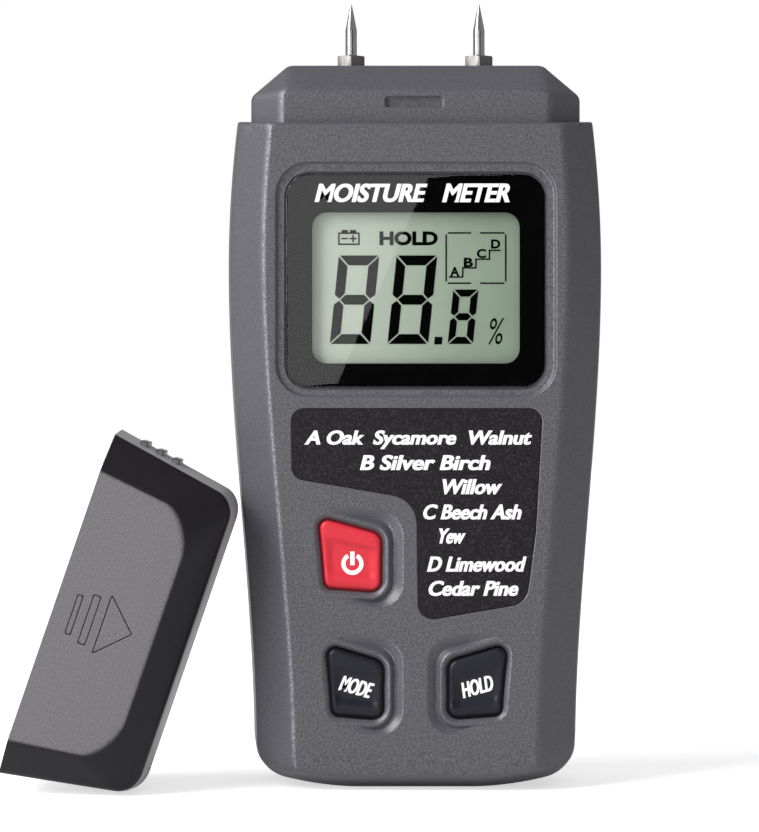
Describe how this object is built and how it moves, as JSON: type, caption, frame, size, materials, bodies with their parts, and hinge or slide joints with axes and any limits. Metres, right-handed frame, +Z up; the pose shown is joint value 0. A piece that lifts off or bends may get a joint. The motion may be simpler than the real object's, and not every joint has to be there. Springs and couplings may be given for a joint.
{
  "type": "moisture meter",
  "caption": "Hand-held two-pin wood moisture meter with LCD window, three push buttons, rear battery door and a removable hollow pin cap leaning beside it.",
  "frame": {"origin": "centre of the flat foot on the floor, under the body's centre line", "axes": "+Z up along the body towards the pins, front face with the display towards -Y, +X to the right seen from the front"},
  "size_m": [0.123, 0.045, 0.1621],
  "materials": {
    "case_grey": "fine spark-eroded texture on the flat panels, satin on the bevels",
    "cap_grey": "fine texture on the front panel, smooth and darker on the bevels",
    "lens_black": "high gloss, clear over the display",
    "lcd": "grey-green reflective display glass with dark segments",
    "foil": "dull",
    "frame_black": "moulded",
    "silicone": "matt translucent",
    "label_black": "fine pebbled film with white print",
    "button_red": "semi-gloss",
    "button_dark": "semi-gloss",
    "board_green": "solder resist",
    "chip_black": "moulded epoxy",
    "nickel": "nickel plated",
    "steel": "zinc plated",
    "brass": "turned",
    "battery_shell": "plain printed jacket",
    "lead_red": "pvc",
    "lead_black": "pvc"
  },
  "bodies": {
    "meter": {"front_housing": "case_grey", "rear_housing": "case_grey", "electrode_head": "case_grey", "window_lens": "lens_black", "lcd_glass": "lcd", "lcd_reflector": "foil", "lcd_frame": "frame_black", "lcd_contact_upper": "silicone", "lcd_contact_lower": "silicone", "label_plate": "label_black", "power_dome": "silicone", "mode_dome": "silicone", "hold_dome": "silicone", "main_board": "board_green", "controller_chip": "chip_black", "amplifier_chip": "chip_black", "crystal_can": "steel", "filter_capacitor": "chip_black", "calibration_trimmer": "steel", "board_screw_lower_left": "steel", "board_screw_lower_right": "steel", "board_screw_upper_left": "steel", "board_screw_upper_right": "steel", "case_screw_lower_left": "steel", "case_screw_lower_right": "steel", "case_screw_upper_left": "steel", "case_screw_upper_right": "steel", "electrode_pin_left": "nickel", "electrode_pin_right": "nickel", "pin_socket_left": "brass", "pin_socket_right": "brass", "electrode_lead_left": "lead_black", "electrode_lead_right": "lead_black", "battery_case": "battery_shell", "battery_positive_stud": "nickel", "battery_negative_stud": "nickel", "battery_clip": "frame_black", "battery_lead_red": "lead_red", "battery_lead_black": "lead_black"},
    "power_key": {"power_button": "button_red"},
    "mode_key": {"mode_button": "button_dark"},
    "hold_key": {"hold_button": "button_dark"},
    "rear_door": {"battery_door": "case_grey"},
    "pin_cap": {"cap_shell": "cap_grey"}
  },
  "joints": [
    {"name": "power_press", "type": "slide", "parent": "meter", "child": "power_key", "axis": [0, 1, 0], "range_m": [0, 0.0008], "stiffness_N_per_m": 400, "deforming": ["power_dome"]},
    {"name": "mode_press", "type": "slide", "parent": "meter", "child": "mode_key", "axis": [0, 1, 0], "range_m": [0, 0.0008], "stiffness_N_per_m": 400, "deforming": ["mode_dome"]},
    {"name": "hold_press", "type": "slide", "parent": "meter", "child": "hold_key", "axis": [0, 1, 0], "range_m": [0, 0.0008], "stiffness_N_per_m": 400, "deforming": ["hold_dome"]},
    {"name": "door_swing", "type": "hinge", "parent": "meter", "child": "rear_door", "pos_m": [0, 0.0154, 0.0063], "axis": [-1, 0, 0], "range_deg": [0, 90]},
    {"name": "cap_pull", "type": "slide", "parent": "meter", "child": "pin_cap", "axis": [-0.9457, 0, 0.3251], "range_m": [0, 0.04]}
  ]
}
